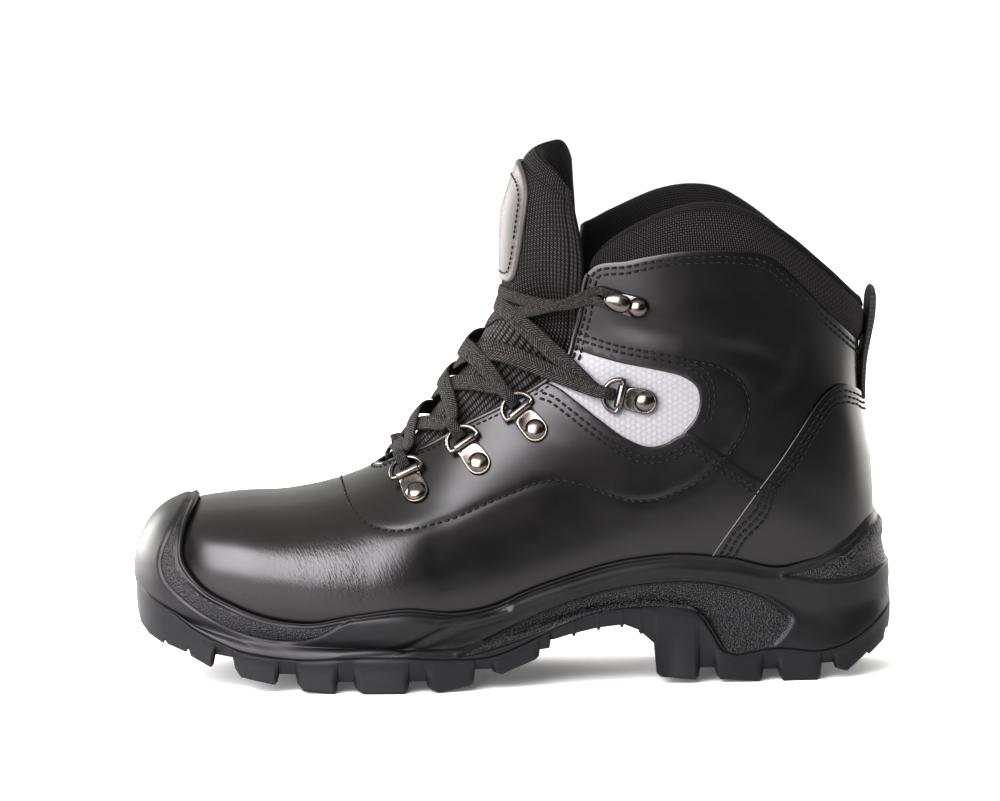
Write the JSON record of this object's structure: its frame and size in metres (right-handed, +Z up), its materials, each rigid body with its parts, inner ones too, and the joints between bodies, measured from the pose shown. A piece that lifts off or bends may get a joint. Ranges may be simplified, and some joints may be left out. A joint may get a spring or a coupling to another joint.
{
  "type": "safety boot",
  "caption": "Ankle-high lace-up safety boot for the left foot, with leather upper, padded collar and tongue, cupped midsole with toe guard, and lugged outsole.",
  "frame": {"origin": "on the floor under the middle of the boot's bounding box", "axes": "+X towards the heel along the boot, toe at -X; -Y the outer (lateral) side of the left foot, +Y the inner (medial) side; +Z up from the floor"},
  "size_m": [0.309, 0.109, 0.2145],
  "materials": {
    "leather": "smooth black leather with a soft gloss",
    "textile": "coarse black woven textile",
    "midsole": "charcoal moulded polyurethane, part smooth and part stippled",
    "tread": "charcoal satin rubber",
    "insole": "dark felt over foam",
    "metal": "gunmetal plating",
    "lace": "flat woven lace"
  },
  "bodies": {
    "root": {"upper": "leather", "collar": "textile", "tongue": "textile", "insole": "insole", "midsole": "midsole", "outsole": "tread", "heel_counter": "leather", "pull_loop": "leather", "ring_1_plate_lateral": "metal", "ring_1_lateral": "metal", "ring_2_plate_lateral": "metal", "ring_2_lateral": "metal", "ring_3_plate_lateral": "metal", "ring_3_lateral": "metal", "ring_4_plate_lateral": "metal", "ring_4_lateral": "metal", "lace_hook_lateral": "metal", "ring_1_plate_medial": "metal", "ring_1_medial": "metal", "ring_2_plate_medial": "metal", "ring_2_medial": "metal", "ring_3_plate_medial": "metal", "ring_3_medial": "metal", "ring_4_plate_medial": "metal", "ring_4_medial": "metal", "lace_hook_medial": "metal", "lace_bar_low": "lace", "lace_crossing_1": "lace", "lace_crossing_2": "lace", "lace_crossing_3": "lace", "lace_crossing_4": "lace", "lace_bar_top": "lace"}
  },
  "joints": []
}
